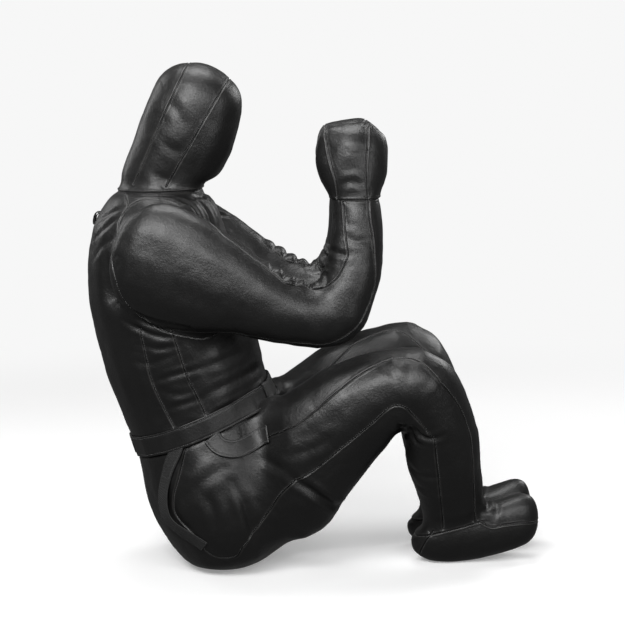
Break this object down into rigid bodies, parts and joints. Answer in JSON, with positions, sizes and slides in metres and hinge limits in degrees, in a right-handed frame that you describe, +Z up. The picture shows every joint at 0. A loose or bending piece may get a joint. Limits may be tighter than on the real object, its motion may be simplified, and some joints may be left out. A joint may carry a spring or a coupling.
{
  "type": "grappling dummy",
  "caption": "Seated stuffed leather grappling dummy with a hooded head, fists raised, knees bent, a waist belt and grab handles.",
  "frame": {"origin": "centre of the flat patch that the seat rests on, on the mirror plane, at floor level", "axes": "+X the way the dummy faces, +Y to its left, +Z up"},
  "size_m": [0.8566, 0.448, 0.9696],
  "materials": {
    "cover_leather": "satin",
    "strap_leather": "satin",
    "nylon_webbing": "matte",
    "textile_filling": "matte"
  },
  "bodies": {
    "pelvis": {"pelvis_cover": "cover_leather", "pelvis_stuffing": "textile_filling", "waist_belt": "strap_leather", "belt_loop_rear": "nylon_webbing", "belt_loop_front_right": "nylon_webbing", "belt_loop_front_left": "nylon_webbing", "hip_handle_right": "strap_leather", "hip_handle_left": "strap_leather", "seat_handle_right": "nylon_webbing", "seat_handle_left": "nylon_webbing"},
    "torso": {"torso_cover": "cover_leather", "torso_stuffing": "textile_filling", "back_tab": "nylon_webbing"},
    "head": {"head_cover": "cover_leather", "head_stuffing": "textile_filling"},
    "upper_arm_right": {"upper_arm_cover_right": "cover_leather", "upper_arm_stuffing_right": "textile_filling"},
    "forearm_right": {"forearm_cover_right": "cover_leather", "forearm_stuffing_right": "textile_filling"},
    "fist_right": {"fist_cover_right": "cover_leather", "fist_stuffing_right": "textile_filling"},
    "thigh_right": {"thigh_cover_right": "cover_leather", "thigh_stuffing_right": "textile_filling"},
    "shin_right": {"shin_cover_right": "cover_leather", "shin_stuffing_right": "textile_filling"},
    "foot_right": {"foot_cover_right": "cover_leather", "foot_stuffing_right": "textile_filling"},
    "upper_arm_left": {"upper_arm_cover_left": "cover_leather", "upper_arm_stuffing_left": "textile_filling"},
    "forearm_left": {"forearm_cover_left": "cover_leather", "forearm_stuffing_left": "textile_filling"},
    "fist_left": {"fist_cover_left": "cover_leather", "fist_stuffing_left": "textile_filling"},
    "thigh_left": {"thigh_cover_left": "cover_leather", "thigh_stuffing_left": "textile_filling"},
    "shin_left": {"shin_cover_left": "cover_leather", "shin_stuffing_left": "textile_filling"},
    "foot_left": {"foot_cover_left": "cover_leather", "foot_stuffing_left": "textile_filling"}
  },
  "joints": [
    {"name": "waist_bend", "type": "hinge", "parent": "pelvis", "child": "torso", "pos_m": [-0.064, 0, 0.309], "axis": [0, 1, 0], "range_deg": [-8, 2]},
    {"name": "neck_nod", "type": "hinge", "parent": "torso", "child": "head", "pos_m": [-0.117, 0, 0.727], "axis": [0, 1, 0], "range_deg": [-12, 12]},
    {"name": "shoulder_lift_right", "type": "hinge", "parent": "torso", "child": "upper_arm_right", "pos_m": [-0.125, -0.108, 0.615], "axis": [0, 1, 0], "range_deg": [-12, 2]},
    {"name": "elbow_bend_right", "type": "hinge", "parent": "upper_arm_right", "child": "forearm_right", "pos_m": [0.208, -0.152, 0.508], "axis": [0, 1, 0], "range_deg": [-8, 12]},
    {"name": "wrist_bend_right", "type": "hinge", "parent": "forearm_right", "child": "fist_right", "pos_m": [0.248, -0.112, 0.712], "axis": [0, 1, 0], "range_deg": [-12, 12]},
    {"name": "hip_bend_right", "type": "hinge", "parent": "pelvis", "child": "thigh_right", "pos_m": [0.095, -0.095, 0.17], "axis": [0, 1, 0], "range_deg": [-3, 8]},
    {"name": "knee_bend_right", "type": "hinge", "parent": "thigh_right", "child": "shin_right", "pos_m": [0.35, -0.138, 0.363], "axis": [0, 1, 0], "range_deg": [-12, 10]},
    {"name": "ankle_bend_right", "type": "hinge", "parent": "shin_right", "child": "foot_right", "pos_m": [0.426, -0.058, 0.096], "axis": [0, 1, 0], "range_deg": [-10, 10]},
    {"name": "shoulder_lift_left", "type": "hinge", "parent": "torso", "child": "upper_arm_left", "pos_m": [-0.125, 0.108, 0.615], "axis": [0, 1, 0], "range_deg": [-12, 2]},
    {"name": "elbow_bend_left", "type": "hinge", "parent": "upper_arm_left", "child": "forearm_left", "pos_m": [0.208, 0.152, 0.508], "axis": [0, 1, 0], "range_deg": [-8, 12]},
    {"name": "wrist_bend_left", "type": "hinge", "parent": "forearm_left", "child": "fist_left", "pos_m": [0.248, 0.112, 0.712], "axis": [0, 1, 0], "range_deg": [-12, 12]},
    {"name": "hip_bend_left", "type": "hinge", "parent": "pelvis", "child": "thigh_left", "pos_m": [0.095, 0.095, 0.17], "axis": [0, 1, 0], "range_deg": [-3, 8]},
    {"name": "knee_bend_left", "type": "hinge", "parent": "thigh_left", "child": "shin_left", "pos_m": [0.35, 0.138, 0.363], "axis": [0, 1, 0], "range_deg": [-12, 10]},
    {"name": "ankle_bend_left", "type": "hinge", "parent": "shin_left", "child": "foot_left", "pos_m": [0.426, 0.058, 0.096], "axis": [0, 1, 0], "range_deg": [-10, 10]}
  ]
}
